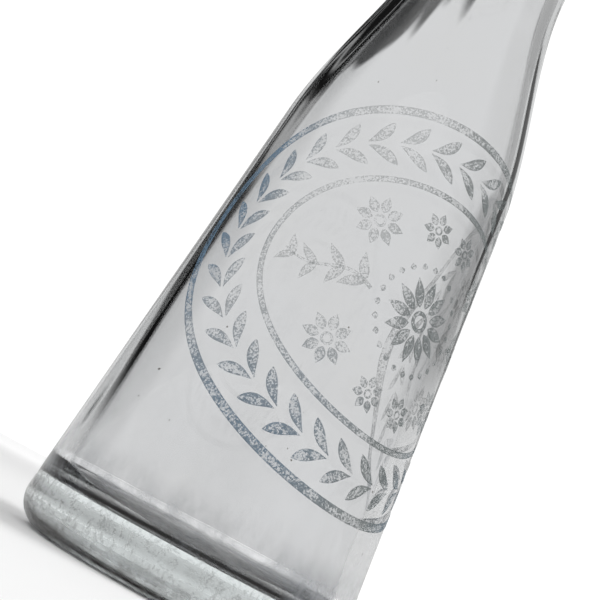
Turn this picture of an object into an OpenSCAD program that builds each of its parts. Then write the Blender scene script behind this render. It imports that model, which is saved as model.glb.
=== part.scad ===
// Half-litre glass milk bottle with a wire swing-top closure, closed.
// The base ring stands on z = 0 with the bottle's axis on +Z. The handle hangs at the front, -Y,
// and the stopper swings off towards the back, +Y.

/* [Body] */
// Diameter that the cone would have on the table if the heel were sharp
base_d = 85.6; // [80:0.2:90]
// Radius lost for each millimetre of height along the cone
taper = 0.085; // [0.06:0.005:0.10]
// Height where the cone ends and the shoulder begins
cone_h = 123.5; // [112:0.5:130]
// Height where the shoulder has run out into the neck
shoulder_h = 190.5; // [182:0.5:196]
// Thickness of the wall
wall = 4.4; // [3.6:0.1:5]
// Thickness of the floor at its edge
floor_t = 11.6; // [8:0.2:13]
// Radius of the rounded heel
heel_r = 8; // [7:0.5:12]
// Inner radius of the ring that the bottle stands on
foot_r = 27; // [20:0.5:29]
// Height of the hollow under the base
push_up = 1.8; // [1:0.1:3]

/* [Neck and lip] */
// Radius of the neck at the shoulder's end
neck_low_r = 20.2; // [19.8:0.1:21]
// Radius of the neck just under the collar's groove
neck_top_r = 19.3; // [19:0.1:19.6]
// Radius inside the neck
neck_bore_r = 15.4; // [14.6:0.1:15.8]
// Radius of the mouth
mouth_r = 13.2; // [12.8:0.1:13.6]
// Height of the whole glass
glass_h = 236; // [234:1:240]
// Height of the lip above the collar's groove
lip_h = 14; // [14:0.5:16]

/* [Wire closure] */
// Diameter of the wire
wire_d = 2.4; // [2.2:0.1:2.4]
// Distance from the collar's eyes to the lever's eyes
lever_arm = 11; // [10.5:0.5:12]
// Distance of the handle's front from the collar's eyes
handle_reach = 34.2; // [33.5:0.1:36]
// Angle of the closed handle from straight down
handle_angle = 40; // [40:1:44]
// Radial clearance of every wire pin in its eye
pin_play = 0.05; // [0.02:0.01:0.1]

/* [Stopper] */
// Radius of the rubber washer
gasket_r = 16; // [15.5:0.1:16.5]
// Thickness of the rubber washer
gasket_t = 3; // [2.6:0.1:3.4]
// Radius of the porcelain flange
flange_r = 17; // [16.5:0.1:17.4]
// Radius of the porcelain knob
knob_r = 9.6; // [9:0.1:10]
// Height of the cross hole above the collar's eyes
hole_h = 32; // [31.5:0.1:33]

/* [Hidden] */
$fn = 96;

wire_r = wire_d / 2;
bore_r = wire_r + pin_play;
groove_r = wire_r + 0.4;          // radius of the groove's round section
groove_floor_r = neck_top_r - 1.9; // radius of the neck at the bottom of the groove
pivot_z = glass_h - lip_h;        // height of the collar's eyes and the lever's hinge
eye_r = 3;                        // outer radius of a wire eye
eye_in_x = 19.4;                  // where a collar eye starts, clear of the glass
eye_out_x = 22.2;                 // where it ends
blind = 0.7;                      // metal left at the closed end of a collar eye
arm_x = 23.8;                     // the lever's two arms
bail_x = 26.6;                    // the bail's two sides
head_r = 1.8;                     // the small head that keeps a bail end in its eye
head_t = 0.5;                     // its thickness
bend_r = 8;                       // bend at the bail's two top corners
lower_z = pivot_z - lever_arm;    // height of the lever's eyes
hole_z = pivot_z + hole_h;        // height of the stopper's cross hole
lip_round = 3;                    // outer rounding of the lip
mouth_round = 1.5;                // inner rounding of the lip
corner_r = 6;                     // inner corner between the floor and the wall
floor_rise = 1.2;                 // rise of the inner floor at its centre

// Radius of the glass cone at height z
function cone_r(z) = base_d / 2 - taper * z;

// Point of an arc about [x, y]
function on_arc(x, y, r, a) = [x + r * cos(a), y + r * sin(a)];

// Cubic that leaves p0 with slope m0 and reaches p1 with slope m1, at share t of the way
function ease(t, p0, m0, p1, m1) =
    (2 * t ^ 3 - 3 * t ^ 2 + 1) * p0 + (t ^ 3 - 2 * t ^ 2 + t) * m0
    + (3 * t ^ 2 - 2 * t ^ 3) * p1 + (t ^ 3 - t ^ 2) * m1;

// Radius of the shoulder at share t, from r0 on a line of the cone's slope to r1 on a near-upright one
function shoulder_r(t, r0, r1) =
    let (span = shoulder_h - cone_h) ease(t, r0, -taper * span, r1, -0.016 * span);

// Half section of the outside, from the middle of the base up to the lip
function outside() =
    let (heel_x = cone_r(heel_r) - heel_r * sqrt(1 + taper ^ 2), slope = atan(taper))
    concat(
        [for (i = [0 : 6]) let (r = foot_r * i / 6) [r, push_up * (1 - (r / foot_r) ^ 2)]],
        [for (i = [0 : 12]) on_arc(heel_x, heel_r, heel_r, -90 + (90 + slope) * i / 12)],
        [for (i = [0 : 24]) let (t = i / 24)
            [shoulder_r(t, cone_r(cone_h), neck_low_r), cone_h + (shoulder_h - cone_h) * t]],
        [[neck_top_r, pivot_z - 6]],
        [for (i = [0 : 6]) on_arc(neck_top_r - lip_round, glass_h - lip_round, lip_round, 90 * i / 6)]);

// Half section of the inside, from the mouth down to the middle of the floor
function inside() =
    let (low_r = cone_r(floor_t + corner_r) - wall, narrow = pivot_z + 2)
    concat(
        [for (i = [0 : 4]) on_arc(mouth_r + mouth_round, glass_h - mouth_round, mouth_round, 90 + 90 * i / 4)],
        [for (i = [0 : 8]) let (t = i / 8)
            [ease(t, mouth_r, 0, neck_bore_r, 0), narrow - 12 * t]],
        [for (i = [24 : -1 : 0]) let (t = i / 24)
            [shoulder_r(t, cone_r(cone_h) - wall, neck_bore_r + 0.3), cone_h + (shoulder_h - cone_h) * t]],
        [for (i = [0 : 8]) on_arc(low_r - corner_r, floor_t + corner_r, corner_r, -90 * i / 8)],
        [for (i = [5 : -1 : 0]) let (r = (low_r - corner_r) * i / 6)
            [r, floor_t + floor_rise * (1 - (r / (low_r - corner_r)) ^ 2)]]);

// A ring of wire about the Z axis
module wire_ring(r, section_r, turn = 360) {
    rotate_extrude(angle = turn) translate([r, 0]) circle(section_r, $fn = 32);
}

// A straight wire from point a along a direction turned about X and Y
module wire_along(a, turn, length) {
    translate(a) rotate(turn) cylinder(r = wire_r, h = length, $fn = 48);
}

// A round boss along X with softened rims
module eye(x0, x1) {
    soft = 0.6;
    translate([x0, 0, 0]) rotate([0, 90, 0]) rotate_extrude() polygon([
        [0, 0], [eye_r - soft, 0], [eye_r, soft], [eye_r, x1 - x0 - soft], [eye_r - soft, x1 - x0], [0, x1 - x0]]);
}

// Both sides of a shape drawn at +X
module both_sides() {
    children();
    mirror([1, 0, 0]) children();
}

// Round section of the groove that holds the collar
module collar_groove() {
    translate([0, 0, pivot_z]) wire_ring(groove_floor_r + groove_r, groove_r);
}

module glass_bottle() {
    color([0.72, 0.78, 0.80, 0.45])
    difference() {
        rotate_extrude() polygon(concat(outside(), inside()));
        collar_groove();
    }
}

// The wire hoop in the groove, with one eye on each side for the lever
module neck_collar() {
    color("silver")
    translate([0, 0, pivot_z])
    difference() {
        union() {
            wire_ring(groove_floor_r + wire_r, wire_r);
            both_sides() eye(eye_in_x, eye_out_x);
        }
        both_sides() translate([eye_in_x + blind, 0, 0]) rotate([0, 90, 0]) cylinder(r = bore_r, h = eye_r * 2, $fn = 48);
    }
}

// The handle's half ring, in the tilted plane that starts at the lever's eyes
module handle_loop() {
    front_y = handle_reach * sin(handle_angle);
    front_z = handle_reach * cos(handle_angle) - lever_arm;
    run = sqrt(front_y ^ 2 + front_z ^ 2);
    straight = run - arm_x;
    translate([0, 0, -lever_arm]) rotate([atan2(front_z, front_y), 0, 0]) {
        translate([0, -straight, 0]) rotate([0, 0, 180]) wire_ring(arm_x, wire_r, 180);
        both_sides() wire_along([arm_x, 0, 0], [90, 0, 0], straight);
    }
}

module lever() {
    pin_gap = 0.2;
    color("silver")
    translate([0, 0, pivot_z])
    difference() {
        union() {
            both_sides() {
                wire_along([eye_in_x + blind + pin_gap, 0, 0], [0, 90, 0], arm_x - eye_in_x - blind - pin_gap);
                translate([arm_x, 0, 0]) sphere(wire_r, $fn = 48);
                wire_along([arm_x, 0, -lever_arm], [0, 0, 0], lever_arm);
                translate([0, 0, -lever_arm]) eye(arm_x - wire_r, arm_x + wire_r);
            }
            handle_loop();
        }
        both_sides() translate([eye_out_x, 0, -lever_arm]) rotate([0, 90, 0]) cylinder(r = bore_r, h = eye_r * 2, $fn = 48);
    }
}

module bail() {
    side = hole_z - bend_r - lower_z;
    color("silver")
    both_sides() {
        translate([eye_out_x - head_t + 0.2, 0, lower_z]) rotate([0, 90, 0]) cylinder(r = head_r, h = head_t, $fn = 48);
        wire_along([eye_out_x, 0, lower_z], [0, 90, 0], bail_x - eye_out_x);
        translate([bail_x, 0, lower_z]) sphere(wire_r, $fn = 48);
        wire_along([bail_x, 0, lower_z], [0, 0, 0], side);
        translate([bail_x - bend_r, 0, hole_z - bend_r]) rotate([90, 0, 0]) wire_ring(bend_r, wire_r, 90);
        wire_along([0, 0, hole_z], [0, 90, 0], bail_x - bend_r);
    }
}

// Half section of the stopper: nose, neck through the washer, flange, waist and knob
function stopper_section() =
    let (seat = glass_h, top = glass_h + gasket_t, nose_r = 10.2, waist_z = top + 10, crown_z = hole_z + 0.5)
    concat(
        [for (i = [0 : 8]) let (r = nose_r * i / 8) [r, seat - 0.5 - 1.5 * (1 - (r / nose_r) ^ 2)]],
        [[nose_r, seat], [8.8, seat], [8.8, top]],
        [for (i = [0 : 4]) on_arc(flange_r - 1.2, top + 1.2, 1.2, -90 + 90 * i / 4)],
        [for (i = [0 : 4]) on_arc(flange_r - 1.8, top + 3, 1.8, 90 * i / 4)],
        [for (i = [1 : 8]) let (t = i / 8)
            [ease(t, flange_r - 1.8, -4, knob_r, -5), ease(t, top + 4.8, 0, waist_z, 3)]],
        [for (i = [0 : 8]) [knob_r * cos(90 * i / 8), crown_z + 5 * sin(90 * i / 8)]]);

module porcelain_stopper() {
    color("white")
    difference() {
        rotate_extrude() polygon(stopper_section());
        translate([-flange_r, 0, hole_z]) rotate([0, 90, 0]) cylinder(r = bore_r, h = flange_r * 2, $fn = 48);
    }
}

module rubber_gasket() {
    bulge = 0.5;
    color([0.72, 0.28, 0.16])
    translate([0, 0, glass_h]) rotate_extrude() polygon([
        [8.8, 0], [gasket_r - bulge, 0], [gasket_r, bulge],
        [gasket_r, gasket_t - bulge], [gasket_r - bulge, gasket_t], [8.8, gasket_t]]);
}

glass_bottle();
neck_collar();
lever();
bail();
porcelain_stopper();
rubber_gasket();
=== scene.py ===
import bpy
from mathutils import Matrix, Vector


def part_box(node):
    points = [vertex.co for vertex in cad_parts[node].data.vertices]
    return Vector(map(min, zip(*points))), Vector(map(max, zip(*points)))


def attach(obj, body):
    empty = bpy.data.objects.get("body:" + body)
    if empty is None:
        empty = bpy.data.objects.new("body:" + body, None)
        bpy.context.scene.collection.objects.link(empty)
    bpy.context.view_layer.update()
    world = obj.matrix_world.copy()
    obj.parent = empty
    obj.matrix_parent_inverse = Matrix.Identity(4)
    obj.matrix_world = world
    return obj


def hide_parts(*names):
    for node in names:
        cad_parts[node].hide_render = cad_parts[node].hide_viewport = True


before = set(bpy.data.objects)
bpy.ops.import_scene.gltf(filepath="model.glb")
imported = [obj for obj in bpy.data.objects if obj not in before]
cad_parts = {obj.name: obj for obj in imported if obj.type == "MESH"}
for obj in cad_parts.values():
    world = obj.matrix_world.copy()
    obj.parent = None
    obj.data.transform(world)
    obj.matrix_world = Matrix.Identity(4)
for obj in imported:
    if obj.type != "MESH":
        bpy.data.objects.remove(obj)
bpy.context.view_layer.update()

import math

import bpy
import numpy as np
from bpy.props import FloatProperty, FloatVectorProperty, IntProperty, PointerProperty
from mathutils import Matrix, Vector

bl_info = {
    "name": "Glass Milk Bottle",
    "version": (1, 0, 0),
    "blender": (4, 5, 0),
    "location": "View3D > Sidebar > Milk Bottle",
    "description": "Builds a half-litre glass milk bottle with an etched mark and a wire closure",
    "category": "Add Mesh",
}

MM = 0.001
GLASS_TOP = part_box("glass_bottle")[1].z
BOTTLE = "bottle"


# ---------------------------------------------------------------- settings


def length(name, description, default):
    """A length in metres, given here in millimetres."""
    return FloatProperty(
        name=name, description=description, default=default * MM, unit="LENGTH", precision=5)


def angle(name, description, default):
    """An angle, given here in degrees."""
    return FloatProperty(
        name=name, description=description, default=math.radians(default), subtype="ANGLE")


def colour(name, description, default):
    """A linear colour."""
    return FloatVectorProperty(
        name=name, description=description, default=default, subtype="COLOR", size=3, min=0, max=1)


class GlassSettings(bpy.types.PropertyGroup):
    """The shape and the finish of the glass."""

    base_d: length("Base diameter", "Width of the cone on the table if the heel were sharp", 85.6)
    taper: FloatProperty(name="Taper", description="Radius lost per unit of height", default=0.085)
    cone_h: length("Cone height", "Height where the cone ends and the shoulder begins", 123.5)
    shoulder_h: length("Shoulder height", "Height where the shoulder has run into the neck", 190.5)
    wall: length("Wall", "Thickness of the wall", 4.4)
    floor_t: length("Floor", "Thickness of the floor at its edge", 11.6)
    heel_r: length("Heel radius", "Radius of the rounded heel", 8)
    foot_r: length("Foot radius", "Inner radius of the standing ring", 27)
    push_up: length("Push-up", "Height of the hollow under the base", 1.8)
    neck_low_r: length("Neck radius", "Radius of the neck where the shoulder ends", 20.2)
    neck_top_r: length("Upper neck radius", "Radius of the neck under the lip", 19.3)
    neck_bore_r: length("Neck bore", "Radius inside the neck", 15.4)
    mouth_r: length("Mouth", "Radius of the mouth", 13.2)
    lip_h: length("Lip height", "Height of the lip above the collar's groove", 14)
    wire_r: length("Wire radius", "Radius of the wire that lies in the groove", 1.2)
    inner_wave: length("Inner waves", "Unevenness of the inner wall", 0.42)
    outer_wave: length("Outer waves", "Unevenness of the outer wall", 0.07)
    tint: colour("Tint", "Colour that each surface gives the light", (0.955, 0.958, 0.966))
    depth_tint: colour("Depth tint", "Colour of light after a long way in it", (0.60, 0.79, 0.77))
    depth_density: FloatProperty(
        name="Depth density", description="How soon the depth tint shows", default=3.6)


class MarkSettings(bpy.types.PropertyGroup):
    """The etched oval mark on the front."""

    centre_h: length("Centre height", "Height of the mark's centre", 82.6)
    outer_half_w: length("Outer half width", "Half width of the outer ring along the glass", 61.8)
    outer_half_h: length("Outer half height", "Half height of the outer ring", 47.9)
    inner_half_w: length("Inner half width", "Half width of the inner ring along the glass", 42.2)
    inner_half_h: length("Inner half height", "Half height of the inner ring", 30.2)
    outer_line: length("Outer line", "Width of the outer ring's line", 2.2)
    inner_line: length("Inner line", "Width of the inner ring's line", 1.5)
    border_leaves: IntProperty(
        name="Border leaves", description="Pairs of leaves between the rings", default=36)
    skin: length("Skin", "Thickness of the etched layer", 0.04)
    edge: colour("Etched edge", "Colour where the etching is deep", (0.090, 0.145, 0.205))
    middle: colour("Etched middle", "Colour in the mark's middle", (0.135, 0.150, 0.150))


class ClosureSettings(bpy.types.PropertyGroup):
    """The finish of the wire closure, the stopper and the washer."""

    wire: colour("Wire", "Tinned steel", (0.66, 0.65, 0.62))
    tarnish: colour("Tarnish", "Dull patches on the wire", (0.20, 0.17, 0.13))
    porcelain: colour("Porcelain", "White glaze", (0.66, 0.64, 0.58))
    stain: colour("Stain", "Old milk and tea stains in the craze lines", (0.42, 0.32, 0.20))
    rubber: colour("Rubber", "Red-brown washer", (0.40, 0.085, 0.045))


class StageSettings(bpy.types.PropertyGroup):
    """The camera, the floor and the light."""

    azimuth: angle("Azimuth", "Where the camera stands, from -Y towards +X", -37.8)
    distance: length("Distance", "Distance of the camera from the bottle's axis", 276.25)
    height: length("Height", "Height of the camera above the floor", 16.3)
    pan: angle("Pan", "Turn of the view to the left of the axis", 1.15)
    pitch: angle("Pitch", "Tilt of the view above the horizon", 13.08)
    roll: angle("Roll", "Turn of the camera about its view", 28.26)
    lens: FloatProperty(name="Lens", description="Focal length", default=66, unit="CAMERA")
    floor_size: FloatProperty(name="Floor", description="Radius of the floor", default=6, unit="LENGTH")
    segments: IntProperty(name="Segments", description="Segments of the floor's rim", default=96)


# ---------------------------------------------------------------- shader maths


class Value:
    """A socket that takes part in sums: each operator adds one Math node."""

    def __init__(self, tree, socket):
        self.tree = tree
        self.socket = socket

    def math(self, operation, *values):
        """A Math node on these values, in this order."""
        return self.tree.node("Math", {"operation": operation}, dict(enumerate(values)))

    def __add__(self, other):
        return self.math("ADD", self, other)

    __radd__ = __add__

    def __sub__(self, other):
        return self.math("SUBTRACT", self, other)

    def __rsub__(self, other):
        return self.math("SUBTRACT", other, self)

    def __mul__(self, other):
        return self.math("MULTIPLY", self, other)

    __rmul__ = __mul__

    def __pow__(self, other):
        return self.math("POWER", self, other)

    def between(self, low, high):
        """0 below low, 1 above high and a smooth step in between."""
        return self.tree.node(
            "MapRange", {"interpolation_type": "SMOOTHSTEP"},
            {"Value": self, "From Min": low, "From Max": high})

    def within(self, rise, fall):
        """0 outside and 1 inside: a smooth step up over the pair rise and one down over the pair fall."""
        return self.between(*rise) * (1 - self.between(*fall))

    def near(self, centre, width):
        """1 at centre, falling smoothly to 0 at width on either side."""
        return 1 - self.math("ABSOLUTE", self - centre).between(0, width)

    def at_least(self, other):
        """The larger of two values."""
        return self.math("MAXIMUM", self, other)


MIX_A, MIX_B, MIX_RESULT = 6, 7, 2  # the colour sockets of a Mix node


class Tree:
    """A node tree whose nodes all come from one method."""

    def __init__(self, tree):
        self.tree = tree
        tree.nodes.clear()

    def node(self, kind, settings=None, inputs=None, output=0):
        """Adds a node of this type: its settings first, then the values or links of its sockets."""
        made = self.tree.nodes.new("ShaderNode" + kind)
        for name, value in (settings or {}).items():
            setattr(made, name, value)
        for name, value in (inputs or {}).items():
            if isinstance(value, Value):
                self.tree.links.new(value.socket, made.inputs[name])
            else:
                made.inputs[name].default_value = value
        return made if output is None else Value(self, made.outputs[output])

    def mix(self, share_of_b, a, b):
        """A colour between a and b."""
        return self.node(
            "Mix", {"data_type": "RGBA"},
            {"Factor": share_of_b, MIX_A: _rgba(a), MIX_B: _rgba(b)}, MIX_RESULT)

    def place(self, scale=(1, 1, 1)):
        """Object coordinates through a Mapping node."""
        point = self.node("TexCoord", output="Object")
        return self.node("Mapping", None, {"Vector": point, "Scale": scale})

    def noise(self, scale, detail, roughness, stretch=(1, 1, 1)):
        """Smooth noise from 0 to 1, in cells of 1/scale metres."""
        return self.node(
            "TexNoise", None,
            {"Vector": self.place(stretch), "Scale": scale, "Detail": detail, "Roughness": roughness})

    def axis(self, name, vector=None):
        """One coordinate of the object, in metres."""
        source = vector or self.node("TexCoord", output="Object")
        return self.node("SeparateXYZ", None, {0: source}, name)

    def bump(self, height, strength, distance):
        """A normal that rises with height."""
        return self.node("Bump", None, {"Height": height, "Strength": strength, "Distance": distance})


def _rgba(value):
    """A colour with its fourth number, or a link left as it is."""
    return value if isinstance(value, Value) else (*value[:3], 1)


def grey(value):
    """A neutral colour."""
    return (value, value, value, 1)


def new_material(name):
    """An empty material and its tree."""
    made = bpy.data.materials.new(name)
    made.use_nodes = True
    return made, Tree(made.node_tree)


def principled(tree, **inputs):
    """A Principled surface wired to the material's output. An underscore in a name stands for a space."""
    values = {name.replace("_", " "): value for name, value in inputs.items()}
    surface = tree.node("BsdfPrincipled", None, values)
    tree.node("OutputMaterial", None, {"Surface": surface}, None)


# ---------------------------------------------------------------- meshes


def new_piece(name, points, faces, material):
    """A smooth mesh object at the origin from an array of points and a list of faces."""
    mesh = bpy.data.meshes.new(name)
    mesh.from_pydata(points, [], faces)
    mesh.update()
    mesh.polygons.foreach_set("use_smooth", np.full(len(mesh.polygons), True))
    mesh.materials.append(material)
    made = bpy.data.objects.new(name, mesh)
    bpy.context.scene.collection.objects.link(made)
    return made


def grid_faces(rows, columns, start=0, close_rows=False, close_columns=False):
    """Four-sided faces of a grid of points stored row by row. A closed side joins its last line to its
    first."""
    row = np.arange(rows if close_rows else rows - 1)[:, None]
    column = np.arange(columns if close_columns else columns - 1)[None, :]
    next_row = (row + 1) % rows
    next_column = (column + 1) % columns
    corners = (row * columns + column, row * columns + next_column,
               next_row * columns + next_column, next_row * columns + column)
    return start + np.stack(np.broadcast_arrays(*corners), axis=-1).reshape(-1, 4)


def fan_faces(ring, pole, reverse=False):
    """Triangles from a closed ring of point numbers to one pole."""
    after = np.roll(ring, -1)
    return np.stack([after, ring, np.full_like(ring, pole)] if reverse else
                    [ring, after, np.full_like(ring, pole)], axis=-1)


def turned_skin(name, radius, height, material):
    """A closed skin of revolution. radius and height are arrays of rows by columns, a row for each point of
    the half section and a column for each direction round Z. The first and last rows shrink to points on the
    axis."""
    rows, columns = radius.shape
    turn = np.arange(columns) * (2 * math.pi / columns)
    grid = np.stack([radius * np.cos(turn), radius * np.sin(turn), height], axis=-1)
    first, last = grid[0].mean(0), grid[-1].mean(0)
    first[:2] = last[:2] = 0
    points = np.concatenate([grid[1:-1].reshape(-1, 3), [first, last]])
    inner_rows = rows - 2
    ends = inner_rows * columns
    faces = grid_faces(inner_rows, columns, close_columns=True).tolist()
    faces += fan_faces(np.arange(columns), ends, reverse=True).tolist()
    faces += fan_faces(np.arange(columns) + ends - columns, ends + 1).tolist()
    return new_piece(name, points, faces, material)


def arc(x, y, r, start, stop, count):
    """Points of a circle's arc, angles in degrees."""
    turn = np.radians(np.linspace(start, stop, count))
    return np.stack([x + r * np.cos(turn), y + r * np.sin(turn)], axis=-1)


def line(a, b, count):
    """Points of a straight line without its ends."""
    return np.linspace(a, b, count + 2)[1:-1]


def ease(t, start, start_slope, stop, stop_slope):
    """The cubic that leaves start with one slope and reaches stop with the other."""
    return ((2 * t**3 - 3 * t**2 + 1) * start + (t**3 - 2 * t**2 + t) * start_slope
            + (3 * t**2 - 2 * t**3) * stop + (t**3 - t**2) * stop_slope)


# ---------------------------------------------------------------- glass


def shoulder_r(g, z, low_r, high_r):
    """Radius at height z: a straight cone up to the shoulder, then the cubic that eases it into the neck."""
    span = g.shoulder_h - g.cone_h
    t = np.clip((z - g.cone_h) / span, 0, 1)
    cone = low_r + g.taper * (g.cone_h - z)
    return np.where(z < g.cone_h, cone, ease(t, low_r, -g.taper * span, high_r, -0.016 * span))


def outer_r(g, z):
    """Radius of the outer wall at height z, from the heel to the neck."""
    return shoulder_r(g, z, g.base_d / 2 - g.taper * g.cone_h, g.neck_low_r)


def inner_r(g, z):
    """Radius of the inner wall at height z, from the floor to the neck."""
    return shoulder_r(g, z, g.base_d / 2 - g.taper * g.cone_h - g.wall, g.neck_bore_r + 0.3 * MM)


GROOVE_GAP = 0.4 * MM  # between the collar's wire and the groove
GROOVE_DEPTH = 1.9 * MM
NECK_END_DROP = 6 * MM  # from the groove down to the end of the neck's taper
LIP_ROUND = 3 * MM
MOUTH_ROUND = 1.5 * MM
MOUTH_RISE, MOUTH_RUN = 2 * MM, 12 * MM  # where the bore narrows to the mouth: above the groove, and how long
FLOOR_CORNER = 6 * MM
FLOOR_RISE = 1.2 * MM  # of the inner floor towards its middle


def glass_section(g):
    """Half section of the glass as points (radius, height), from the middle of the base, up the outside, over
    the lip and down the inside to the middle of the floor. Also says how many of the points are outside."""
    foot = np.linspace(0, 1, 10)[:, None] ** 0.7
    under = np.concatenate([foot * g.foot_r, g.push_up * (1 - foot**2)], axis=1)
    slope = math.degrees(math.atan(g.taper))
    heel_x = outer_r(g, g.heel_r) - g.heel_r * math.sqrt(1 + g.taper**2)
    heel = arc(heel_x, g.heel_r, g.heel_r, -90, slope, 20)
    side_z = np.linspace(heel[-1, 1], g.shoulder_h, 122)[1:]
    side = np.stack([outer_r(g, side_z), side_z], axis=-1)

    groove_z = GLASS_TOP - g.lip_h
    groove_r = g.wire_r + GROOVE_GAP
    groove_x = g.neck_top_r - GROOVE_DEPTH + groove_r
    reach = math.degrees(math.acos((g.neck_top_r - groove_x) / groove_r))
    neck_end = np.array([g.neck_top_r, groove_z - NECK_END_DROP])
    neck = line(side[-1], neck_end, 14)
    groove = arc(groove_x, groove_z, groove_r, -reach, reach - 360, 15)
    lip = arc(g.neck_top_r - LIP_ROUND, GLASS_TOP - LIP_ROUND, LIP_ROUND, 0, 90, 9)
    outside = np.concatenate([
        under, heel, side, neck, [neck_end], line(neck_end, groove[0], 3), groove,
        line(groove[-1], lip[0], 6), lip])

    mouth = arc(g.mouth_r + MOUTH_ROUND, GLASS_TOP - MOUTH_ROUND, MOUTH_ROUND, 90, 180, 7)
    t = np.linspace(0, 1, 14)[:, None]
    narrow_r = ease(t, g.mouth_r, 0, g.neck_bore_r, 0)
    narrow = np.concatenate([narrow_r, groove_z + MOUTH_RISE - MOUTH_RUN * t], axis=1)
    inside_z = np.linspace(g.shoulder_h, g.floor_t + FLOOR_CORNER, 110)
    inside = np.stack([inner_r(g, inside_z), inside_z], axis=-1)
    corner_x = inside[-1, 0] - FLOOR_CORNER
    corner = arc(corner_x, g.floor_t + FLOOR_CORNER, FLOOR_CORNER, 0, -90, 12)[1:]
    far = np.linspace(1, 0, 14)[1:, None]
    floor = np.concatenate([far * corner[-1, 0], g.floor_t + FLOOR_RISE * (1 - far**2)], axis=1)
    hollow = np.concatenate([
        line(lip[-1], mouth[0], 2), mouth, line(mouth[-1], narrow[0], 5), narrow,
        line(narrow[-1], inside[0], 8), inside, corner, floor])
    return np.concatenate([outside, hollow]), len(outside)


def ripples(turn, z, waves):
    """Sum of slow waves that run mostly up the wall: sine of m times the turn plus k times the height."""
    total = 0
    for size, m, k, phase in waves:
        total = total + size * np.sin(m * turn + k * z + phase)
    return total / sum(wave[0] for wave in waves)


# Each wave's size, its number of crests round the wall, its radians per metre of height, and its phase
INNER_WAVES = (
    (1.0, 2, 17, 0.4), (0.8, 3, -23, 2.1), (0.6, 5, 31, 4.0), (0.45, 8, -14, 1.2), (0.3, 13, 41, 5.2),
    (0.22, 1, 95, 0.9), (0.16, 21, -27, 3.3))
OUTER_WAVES = ((1.0, 3, 21, 1.0), (0.7, 4, -34, 2.6), (0.5, 7, 48, 0.3), (0.3, 11, -60, 4.4))
GLASS_COLUMNS = 256


def build_glass(g, material):
    """The glass as one skin: the half section turned about Z, with the inner wall swollen and thinned by slow
    ripples and the outer wall by much fainter ones. Both fade out at the floor, the groove and the lip."""
    section, outside = glass_section(g)
    columns = GLASS_COLUMNS
    turn = np.arange(columns) * (2 * math.pi / columns)
    radius = np.repeat(section[:, :1], columns, axis=1)
    z = section[:, 1:]
    calm_top = np.clip((GLASS_TOP - g.lip_h - 8 * MM - z) / (12 * MM), 0, 1)
    inner_fade = calm_top * np.clip((z - g.floor_t - 2 * MM) / (14 * MM), 0, 1)
    outer_fade = calm_top * np.clip((z - g.heel_r) / (8 * MM), 0, 1)
    is_inner = (np.arange(len(section)) >= outside)[:, None]
    inner = g.inner_wave * inner_fade * ripples(turn, z, INNER_WAVES)
    outer = g.outer_wave * outer_fade * (ripples(turn, z, OUTER_WAVES) - 1) / 2
    radius = radius + np.where(is_inner, inner, outer)
    piece = turned_skin("glass", radius, np.repeat(z, columns, axis=1), material)
    inside = np.concatenate([np.repeat(is_inner[1:-1, 0], columns), [False, True]]).astype(np.float32)
    piece.data.attributes.new("inside", "FLOAT", "POINT").data.foreach_set("value", inside)
    return piece


CLOUDY_TINT = (0.952, 0.953, 0.956)
SPECK = (0.10, 0.09, 0.08)
DIRT = (0.060, 0.050, 0.043)
THIN_FILM, THICK_FILM = (0.40, 0.42, 0.45), (0.70, 0.73, 0.78)


def glass_material(g):
    """Clear glass: a faint tint, milky film inside low down, fine scratches, a pitted and grimy base, and
    specks. The film, the scratches, the pits and the grime are a share of a second, matt surface."""
    material, tree = new_material("clear_glass")
    inside = tree.node("Attribute", {"attribute_name": "inside"}, output="Fac")
    z = tree.axis("Z")
    film = tree.noise(42, 7, 0.68, stretch=(1, 1, 0.5)).between(0.40, 0.66)
    thick = 1 - z.between(13 * MM, 30 * MM)
    thin = 1 - z.between(40 * MM, 74 * MM)
    haze = inside * film * thick.at_least(thin * 0.11)
    scratches = tree.noise(1100, 2, 0.5, stretch=(1, 1, 0.03)).between(0.69, 0.73)
    base = 1 - z.between(9 * MM, 15 * MM)
    pitted = tree.noise(620, 5, 0.8, stretch=(1, 1, 0.6)).between(0.50, 0.64) * base
    grime = tree.noise(75, 5, 0.7).between(0.34, 0.62) * (1 - z.between(3 * MM, 9 * MM)) * (1 - inside)
    rubbed = tree.noise(60, 4, 0.6).between(0.50, 0.66) * (1 - inside)
    specks = tree.noise(800, 0, 0.5).between(0.880, 0.895) * (1 - inside)
    cloudy = tree.noise(34, 5, 0.6).between(0.35, 0.70)
    wavy = tree.noise(50, 2, 0.4, stretch=(1, 1, 0.30))
    height = wavy + 0.04 * scratches * rubbed + 0.12 * pitted * (1 - inside)
    clear = tree.node("BsdfPrincipled", None, {
        "Base Color": tree.mix(specks, tree.mix(cloudy, g.tint, CLOUDY_TINT), SPECK),
        "Roughness": 0.004 + 0.06 * haze + 0.05 * scratches * rubbed + 0.12 * pitted,
        "IOR": 1.5, "Transmission Weight": 1.0, "Normal": tree.bump(height, 0.22, 0.6 * MM)})
    film_shade = tree.mix(film, THIN_FILM, THICK_FILM)
    matt = tree.node("BsdfPrincipled", None, {
        "Base Color": tree.mix(1 - inside, film_shade, DIRT), "Roughness": 0.8})
    matt_share = 0.55 * haze + 0.06 * scratches * rubbed + 0.26 * pitted * (1 - inside) + 0.44 * grime
    surface = tree.node("MixShader", None, {0: matt_share, 1: clear, 2: matt})
    volume = tree.node(
        "VolumeAbsorption", None, {"Color": _rgba(g.depth_tint), "Density": g.depth_density})
    tree.node("OutputMaterial", None, {"Surface": surface, "Volume": volume}, None)
    return material


# ---------------------------------------------------------------- etched mark


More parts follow.
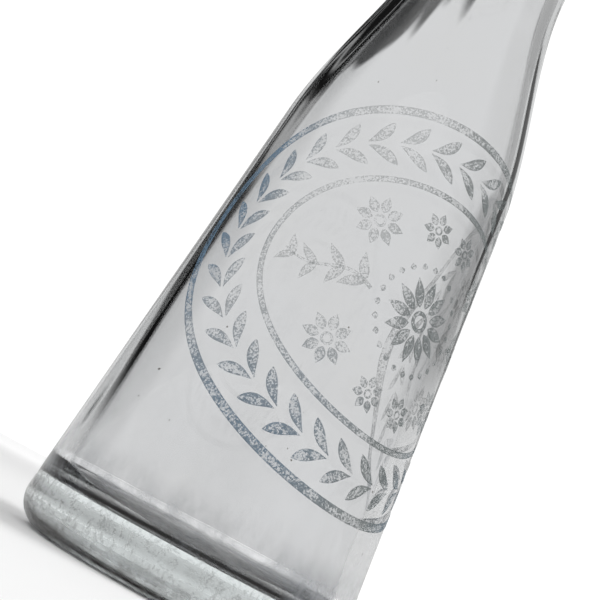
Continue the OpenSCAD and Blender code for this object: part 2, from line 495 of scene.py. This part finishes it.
def on_glass(g, along, z, lift):
    """Points on the outer wall at an arc length along from the front line and a height z, raised by lift."""
    r = outer_r(g, z)
    turn = along / r
    return np.stack([(r + lift) * np.sin(turn), -(r + lift) * np.cos(turn), z], axis=-1)


def ribbon(path, half_width, closed, columns=5):
    """A flat ribbon as a grid of points: the path, moved to each side by half_width along its own normal."""
    ahead = np.roll(path, -1, 0) - np.roll(path, 1, 0)
    if not closed:
        ahead[0] = path[1] - path[0]
        ahead[-1] = path[-1] - path[-2]
    ahead = ahead / np.maximum(np.linalg.norm(ahead, axis=1, keepdims=True), 1e-9)
    normal = np.stack([-ahead[:, 1], ahead[:, 0]], axis=-1)
    across = np.linspace(-1, 1, columns)[None, :, None]
    reach = np.asarray(half_width).reshape(-1, 1, 1) * across
    return path[:, None, :] + normal[:, None, :] * reach


def etched_piece(g, m, name, strokes, material):
    """One closed etched layer on the glass from strokes, each (path, half width, closed): a front grid, a
    back grid a skin's thickness below it, and walls between their rims. The attribute rim is 0 along each
    stroke's middle and 1 along its two rims."""
    points, faces, rims, start = [], [], [], 0
    for path, half_width, closed in strokes:
        grid = ribbon(path, half_width, closed)
        rows, columns = grid.shape[:2]
        front = on_glass(g, grid[..., 0], grid[..., 1], m.skin * 1.5)
        back = on_glass(g, grid[..., 0], grid[..., 1], m.skin * 0.5)
        loop = np.concatenate([front, back[:, ::-1]], axis=1)
        points.append(loop.reshape(-1, 3))
        rim = np.abs(np.linspace(-1, 1, columns))
        rims.append(np.tile(np.concatenate([rim, rim]), rows))
        faces += grid_faces(rows, 2 * columns, start, closed, True).tolist()
        if not closed:
            ends = start + np.arange(2 * columns)
            faces.append(ends[::-1].tolist())
            faces.append((ends + (rows - 1) * 2 * columns).tolist())
        start += rows * 2 * columns
    piece = new_piece(name, np.concatenate(points), faces, material)
    rim = np.concatenate(rims).astype(np.float32)
    piece.data.attributes.new("rim", "FLOAT", "POINT").data.foreach_set("value", rim)
    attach(piece, BOTTLE)
    return piece


def oval(half_w, half_h, centre_h, count):
    """Points of an upright oval round the mark's centre."""
    turn = np.linspace(0, 2 * math.pi, count, endpoint=False)
    return np.stack([half_w * np.cos(turn), centre_h + half_h * np.sin(turn)], axis=-1)


def placed(shape, where, turn=0.0):
    """A motif's path turned and moved to its place."""
    c, s = math.cos(turn), math.sin(turn)
    return shape @ np.array([[c, s], [-s, c]]) + where


def leaf(long, wide, bow=0.0, count=13):
    """A filled leaf as a stroke: a midrib that bows sideways as the sine of the way along it, and a half
    width that swells as a sine too, a little sooner than midway, to narrow ends."""
    t = np.linspace(0, 1, count)
    midrib = np.stack([bow * np.sin(math.pi * t), long * (t - 0.5)], axis=-1)
    return midrib, wide / 2 * np.maximum(np.sin(math.pi * t**0.8), 0.06)


def leafy(path, pairs, long, wide, lean, stem):
    """A stem with pairs of leaves that lean forwards from it, at even steps of the path."""
    strokes = [(path, np.linspace(stem, stem * 0.5, len(path)), False)]
    for at in np.linspace(0.08, 0.92, pairs):
        k = int(at * (len(path) - 2))
        ahead = path[k + 1] - path[k]
        heading = math.atan2(ahead[1], ahead[0]) - math.pi / 2
        shrink = 1 - 0.3 * at
        for side in (-1, 1):
            midrib, half_width = leaf(long * shrink, wide * shrink, side * 0.06 * long)
            midrib = placed(midrib + [0, long * shrink / 2], path[k], heading + side * lean)
            strokes.append((midrib, half_width, False))
    return strokes


def etched_material(m):
    """Sand-blasted glass: matt grains that crowd at each stroke's rims. They are blue and dense at the mark's
    left and lower side, denser right of its middle, and grey and worn thin elsewhere. A little emission
    stands for light that comes through the layer."""
    material, tree = new_material("etched_glass")
    rim = tree.node("Attribute", {"attribute_name": "rim"}, output="Fac")
    grain = tree.noise(2000, 3, 0.75)
    worn = tree.noise(210, 3, 0.6)
    side = tree.axis("X").math("ARCTAN2", tree.axis("X"), 0.0 - tree.axis("Y")) * math.degrees(1)
    low = 1 - tree.axis("Z").between(40 * MM, 78 * MM)
    left = 1 - side.between(-96, -58)
    right = side.between(-34, 6) * (1 - 0.75 * side.between(12, 40))
    deep = left.at_least(low * 0.8).at_least(right * 0.8)
    cover = (grain + (worn - 0.5) * 0.45 + deep * 0.03 + rim**3 * 0.10).between(0.50, 0.56)
    shade = tree.mix(left.at_least(low * (1 - right) * 0.75), m.middle, m.edge)
    principled(
        tree, Base_Color=shade, Roughness=0.85, Emission_Color=shade, Emission_Strength=0.25,
        Alpha=(0.02 + 0.12 * deep) + (0.22 + 0.44 * deep) * cover, Normal=tree.bump(grain, 0.6, 0.1 * MM))
    return material


BORDER_LEAF, BORDER_LEAF_WIDTH, BORDER_LEAF_BOW = 8.6 * MM, 2.7 * MM, 0.7 * MM
BORDER_LEAF_SHIFT, BORDER_LEAF_LEAN = 2.9 * MM, 0.62


def laurel_border(m):
    """Slim leaves in pairs round the oval halfway between the two rings, at even steps of its length."""
    strokes = []
    mid_w = (m.outer_half_w + m.inner_half_w) / 2
    mid_h = (m.outer_half_h + m.inner_half_h) / 2
    fine = oval(mid_w, mid_h, m.centre_h, 2000)
    walked = np.cumsum(np.linalg.norm(np.diff(fine, axis=0, append=fine[:1]), axis=1))
    for step in (np.arange(m.border_leaves) + 0.5) / m.border_leaves:
        at = np.searchsorted(walked, walked[-1] * step)
        ahead = fine[(at + 1) % len(fine)] - fine[at]
        heading = math.atan2(ahead[1], ahead[0]) - math.pi / 2
        for side in (-1, 1):
            midrib, half_width = leaf(BORDER_LEAF, BORDER_LEAF_WIDTH, side * BORDER_LEAF_BOW)
            midrib = placed(midrib, np.array([-side * BORDER_LEAF_SHIFT, 0]), -side * BORDER_LEAF_LEAN)
            strokes.append((placed(midrib, fine[at], heading), half_width, False))
    return strokes


def daisy(centre, reach, petals, wide):
    """A ring round the centre, and petals that stand on it and reach outwards."""
    ring = placed(oval(reach * 0.2, reach * 0.2, 0, 20), centre)
    strokes = [(ring, reach * 0.05, True)]
    for turn in np.arange(petals) * (2 * math.pi / petals):
        midrib, half_width = leaf(reach * 0.66, wide)
        strokes.append((placed(midrib + [0, reach * 0.66], centre, turn), half_width, False))
    return strokes


BEADS, BEAD_SIZE, BEAD_RING = 24, 1.6 * MM, 13 * MM
SPRIG_START, SPRIG_LENGTH, SPRIG_WAVE = 15.5 * MM, 22 * MM, 1.4 * MM
# Small daisies: sideways and upwards from the centre, reach, petals and petal width, in millimetres
SMALL_DAISIES = ((20, 15.5, 6.2, 8, 2.5), (5.5, 21.5, 4.4, 7, 2.0))


def field_flowers(m):
    """A large daisy ringed by beads in the middle, small daisies above and below it, and a leafy sprig that
    waves out to each side."""
    centre = np.array([0, m.centre_h])
    strokes = daisy(centre, 10.5 * MM, 12, 2.9 * MM)
    for turn in (np.arange(BEADS) + 0.5) * (2 * math.pi / BEADS):
        midrib, half_width = leaf(BEAD_SIZE, BEAD_SIZE, count=9)
        strokes.append((placed(midrib + [0, BEAD_RING], centre, turn), half_width, False))
    t = np.linspace(0, 1, 40)
    for side in (-1, 1):
        along = side * (SPRIG_START + SPRIG_LENGTH * t)
        wave = np.stack([along, SPRIG_WAVE * np.sin(2 * math.pi * t)], axis=-1)
        strokes += leafy(centre + wave, 4, 7.2 * MM, 2.6 * MM, 0.85, 0.5 * MM)
        for rise in (-1, 1):
            for across, up, reach, petals, wide in SMALL_DAISIES:
                place = centre + np.array([side * across, rise * up]) * MM
                strokes += daisy(place, reach * MM, petals, wide * MM)
    return strokes


# ---------------------------------------------------------------- closure finishes


RUST = (0.16, 0.09, 0.05)
GLAZE_CLOUD, PINHOLE = (0.72, 0.71, 0.67), (0.22, 0.17, 0.12)
RUBBER_BLOOM = (0.52, 0.25, 0.18)


def wire_material(c, name):
    """Tinned steel wire: dulled patches, fine drawing lines and small rusty pits."""
    material, tree = new_material(name)
    dull = tree.noise(140, 5, 0.65).between(0.42, 0.66)
    lines = tree.noise(2200, 2, 0.5, stretch=(1, 1, 0.06))
    pits = tree.noise(1500, 2, 0.6).between(0.62, 0.72)
    shade = tree.mix(dull * 0.50, c.wire, c.tarnish)
    shade = tree.mix(pits * 0.5, shade, RUST)
    principled(
        tree, Base_Color=shade, Metallic=1.0 - 0.5 * pits, Roughness=0.17 + 0.22 * dull + 0.10 * lines,
        Normal=tree.bump(lines * 0.5 - pits * 0.6, 0.35, 0.08 * MM))
    return material


def porcelain_material(c):
    """White glaze: faint craze lines with old stains, small pinholes and a clear coat."""
    material, tree = new_material("porcelain")
    cells = tree.node(
        "TexVoronoi", {"feature": "DISTANCE_TO_EDGE"},
        {"Vector": tree.place(), "Scale": 330.0, "Randomness": 1.0})
    craze = 1 - cells.between(0.0, 0.035)
    reach = tree.noise(90, 3, 0.6).between(0.48, 0.62)
    cloud = tree.noise(60, 3, 0.5)
    pinhole = tree.noise(1300, 1, 0.5).between(0.76, 0.79)
    shade = tree.mix(cloud.between(0.35, 0.7) * 0.5, c.porcelain, GLAZE_CLOUD)
    shade = tree.mix(craze * reach * 0.6, shade, c.stain)
    shade = tree.mix(pinhole * 0.8, shade, PINHOLE)
    principled(
        tree, Base_Color=shade, Roughness=0.16 + 0.14 * reach, Coat_Weight=0.6, Coat_Roughness=0.05,
        Normal=tree.bump(cloud * 0.6 - pinhole, 0.12, 0.3 * MM))
    return material


def rubber_material(c):
    """Moulded rubber: matt, a little dusty, with fine grain and pale bloom."""
    material, tree = new_material("washer_rubber")
    bloom = tree.noise(180, 5, 0.6).between(0.45, 0.75)
    grain = tree.noise(2600, 2, 0.5)
    shade = tree.mix(bloom * 0.45, c.rubber, RUBBER_BLOOM)
    principled(
        tree, Base_Color=shade, Roughness=0.72 + 0.18 * bloom, Specular_IOR_Level=0.35,
        Normal=tree.bump(grain + 0.4 * bloom, 0.3, 0.1 * MM))
    return material


# ---------------------------------------------------------------- stage


FLOOR_FIRST_RING, FLOOR_RINGS = 0.05, 12
FLOOR_GLOW_STARTS, FLOOR_GLOW_ENDS = 0.30, 1.60
FLOOR_GLOW = 0.45


def stage_material():
    """Pale matt floor. Away from the bottle it is luminous, so that it runs into the white behind it."""
    material, tree = new_material("stage_floor")
    x, y = tree.axis("X"), tree.axis("Y")
    far = ((x * x + y * y) ** 0.5).between(FLOOR_GLOW_STARTS, FLOOR_GLOW_ENDS)
    principled(
        tree, Base_Color=grey(0.88), Roughness=0.9, Specular_IOR_Level=0.1,
        Emission_Color=tree.mix(far, grey(0), grey(FLOOR_GLOW)), Emission_Strength=1.0)
    return material


def studio_world():
    """A white studio with neutral cards out of view that draw the glass's edges. A card is a patch of
    directions: turn is its heading round Z in degrees, and z is the sine of its height above the horizon.
    The camera itself sees plain white."""
    world = bpy.data.worlds.new("studio")
    bpy.context.scene.world = world
    world.use_nodes = True
    tree = Tree(world.node_tree)
    direction = tree.node("TexCoord", output="Generated")
    x, y, z = (tree.axis(name, direction) for name in "XYZ")
    turn = y.math("ARCTAN2", y, x) * math.degrees(1)

    black_edge = 82 - 3 * z.between(0.44, 0.50)
    black_card = (turn - black_edge).between(-2.5, 2.5) * (1 - turn.between(135, 150))
    gaps = (turn.near(93, 2.5) + turn.between(99, 102)) * z.within((0.34, 0.40), (0.42, 0.50))
    black_card = black_card * (1 - 0.45 * gaps) * z.within((0.02, 0.16), (0.78, 0.95))

    slit_top = z.between(0.49, 0.52)
    slits = turn.near(82, 3) * (1 - slit_top) + turn.near(91.5, 3) * slit_top
    slits = slits * z.within((0.34, 0.41), (0.60, 0.66))

    high_card = (turn + 150 * z).between(131, 135) * (1 - turn.between(77, 80))
    high_card = high_card * z.within((0.462, 0.480), (0.70, 0.80))

    grey_edge = 33 - 10 * z.between(0.37, 0.43) + 24 * z.between(0.545, 0.575)
    grey_card = turn.between(-26, -12) * (1 - (turn - grey_edge).between(-3, 3))
    grey_card = grey_card * z.within((0.17, 0.30), (0.80, 0.95))

    shade = tree.mix(z.between(-0.2, 0.9), grey(0.622), grey(0.662))
    card_shade = tree.mix(z.between(0.40, 0.46), grey(0.265), grey(0.335))
    shade = tree.mix(grey_card * 0.9, shade, card_shade)
    shade = tree.mix(black_card, shade, grey(0.006))
    shade = tree.mix(slits * 0.85, shade, grey(0.335))
    shade = tree.mix(high_card, shade, grey(0.013))
    shade = tree.mix(tree.node("LightPath", output="Is Camera Ray"), shade, grey(1))
    background = tree.node("Background", None, {"Color": shade, "Strength": 1.1})
    tree.node("OutputWorld", None, {"Surface": background}, None)


# Each light's name, place, width and height, and power
LIGHTS = (
    ("high_light", (0.55, -0.35, 0.75), (0.45, 0.45), 4.5),
    ("left_light", (-0.80, 0.15, 0.85), (0.50, 0.60), 4.5),
)


def area_light(name, place, size, power):
    """A soft light that faces the middle of the bottle and isn't seen itself."""
    data = bpy.data.lights.new(name, "AREA")
    data.shape = "RECTANGLE"
    data.size, data.size_y = size
    data.energy = power
    made = bpy.data.objects.new(name, data)
    made.location = place
    aim = Vector((0, 0, GLASS_TOP / 2)) - made.location
    made.rotation_euler = aim.to_track_quat("-Z", "Y").to_euler()
    made.visible_camera = False
    made.visible_glossy = False
    made.visible_transmission = False
    bpy.context.scene.collection.objects.link(made)


# ---------------------------------------------------------------- operators


class BuildStep(bpy.types.Operator):
    """One step of the build."""

    bl_options = {"REGISTER", "UNDO"}


class MILKBOTTLE_OT_camera(BuildStep):
    """Place the camera in front of the bottle, low down and turned about its view"""

    bl_idname = "milkbottle.camera"
    bl_label = "Camera"

    def execute(self, context):
        """Builds the camera's matrix from its place, its heading, its pitch and its roll."""
        s = context.scene.bottle_stage
        data = bpy.data.cameras.new("camera")
        data.lens = s.lens
        data.clip_start = 0.01
        camera = bpy.data.objects.new("camera", data)
        context.scene.collection.objects.link(camera)
        across, back = math.sin(s.azimuth) * s.distance, -math.cos(s.azimuth) * s.distance
        place = Matrix.Translation((across, back, s.height))
        heading = Matrix.Rotation(s.azimuth + s.pan, 4, "Z")
        tilt = Matrix.Rotation(math.pi / 2 + s.pitch, 4, "X")
        camera.matrix_world = place @ heading @ tilt @ Matrix.Rotation(s.roll, 4, "Z")
        context.scene.camera = camera
        return {"FINISHED"}


class MILKBOTTLE_OT_stage(BuildStep):
    """Add the floor, the white studio and the soft lights"""

    bl_idname = "milkbottle.stage"
    bl_label = "Stage"

    def execute(self, context):
        """The floor is a flat disc of rings that grow outwards."""
        s = context.scene.bottle_stage
        rings = np.geomspace(FLOOR_FIRST_RING, s.floor_size, FLOOR_RINGS)
        turn = np.arange(s.segments) * (2 * math.pi / s.segments)
        grid = np.stack([rings[:, None] * np.cos(turn), rings[:, None] * np.sin(turn),
                         np.zeros((len(rings), s.segments))], axis=-1)
        points = np.concatenate([grid.reshape(-1, 3), [[0, 0, 0]]])
        faces = grid_faces(len(rings), s.segments, close_columns=True)[:, ::-1].tolist()
        faces += fan_faces(np.arange(s.segments), len(points) - 1).tolist()
        floor = new_piece("floor", points, faces, stage_material())
        studio_world()
        for light in LIGHTS:
            area_light(*light)
        context.scene.view_settings.view_transform = "Standard"
        return {"FINISHED"}


class MILKBOTTLE_OT_glass(BuildStep):
    """Add the glass"""

    bl_idname = "milkbottle.glass"
    bl_label = "Glass"

    def execute(self, context):
        g = context.scene.bottle_glass
        piece = build_glass(g, glass_material(g))
        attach(piece, BOTTLE)
        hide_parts("glass_bottle")
        return {"FINISHED"}


class MILKBOTTLE_OT_mark(BuildStep):
    """Add the etched rings, the laurel border and the flowers"""

    bl_idname = "milkbottle.mark"
    bl_label = "Etched mark"

    def execute(self, context):
        g = context.scene.bottle_glass
        m = context.scene.bottle_mark
        finish = etched_material(m)
        outer = oval(m.outer_half_w, m.outer_half_h, m.centre_h, 360)
        inner = oval(m.inner_half_w, m.inner_half_h, m.centre_h, 300)
        etched_piece(g, m, "etched_outer_ring", [(outer, m.outer_line / 2, True)], finish)
        etched_piece(g, m, "etched_inner_ring", [(inner, m.inner_line / 2, True)], finish)
        etched_piece(g, m, "etched_laurel_border", laurel_border(m), finish)
        etched_piece(g, m, "etched_flowers", field_flowers(m), finish)
        return {"FINISHED"}


class MILKBOTTLE_OT_closure(BuildStep):
    """Give the wires, the stopper and the washer their finishes"""

    bl_idname = "milkbottle.closure"
    bl_label = "Closure"

    def execute(self, context):
        c = context.scene.bottle_closure
        finishes = {
            "neck_collar": wire_material(c, "collar_wire"),
            "lever": wire_material(c, "lever_wire"),
            "bail": wire_material(c, "bail_wire"),
            "porcelain_stopper": porcelain_material(c),
            "rubber_gasket": rubber_material(c),
        }
        for node, finish in finishes.items():
            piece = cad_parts[node]
            for slot in piece.material_slots:
                slot.material = finish
        return {"FINISHED"}


class MILKBOTTLE_PT_panel(bpy.types.Panel):
    """Lists the steps of the build"""

    bl_idname = "MILKBOTTLE_PT_panel"
    bl_label = "Milk Bottle"
    bl_space_type = "VIEW_3D"
    bl_region_type = "UI"
    bl_category = "Milk Bottle"

    def draw(self, context):
        for step in STEPS:
            self.layout.operator(step.bl_idname)


GROUPS = {
    "bottle_glass": GlassSettings,
    "bottle_mark": MarkSettings,
    "bottle_closure": ClosureSettings,
    "bottle_stage": StageSettings,
}
STEPS = (
    MILKBOTTLE_OT_camera,
    MILKBOTTLE_OT_stage,
    MILKBOTTLE_OT_glass,
    MILKBOTTLE_OT_mark,
    MILKBOTTLE_OT_closure,
)


def register():
    """Registers the settings, the steps and the panel."""
    for name, group in GROUPS.items():
        bpy.utils.register_class(group)
        setattr(bpy.types.Scene, name, PointerProperty(type=group))
    for step in (*STEPS, MILKBOTTLE_PT_panel):
        bpy.utils.register_class(step)


def unregister():
    """Undoes register."""
    for step in (MILKBOTTLE_PT_panel, *reversed(STEPS)):
        bpy.utils.unregister_class(step)
    for name, group in reversed(GROUPS.items()):
        delattr(bpy.types.Scene, name)
        bpy.utils.unregister_class(group)


def main():
    """Builds the bottle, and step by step."""
    register()
    bpy.ops.milkbottle.camera()
    bpy.ops.milkbottle.stage()
    bpy.ops.milkbottle.glass()
    bpy.ops.milkbottle.mark()
    bpy.ops.milkbottle.closure()


if __name__ == "__main__":
    main()
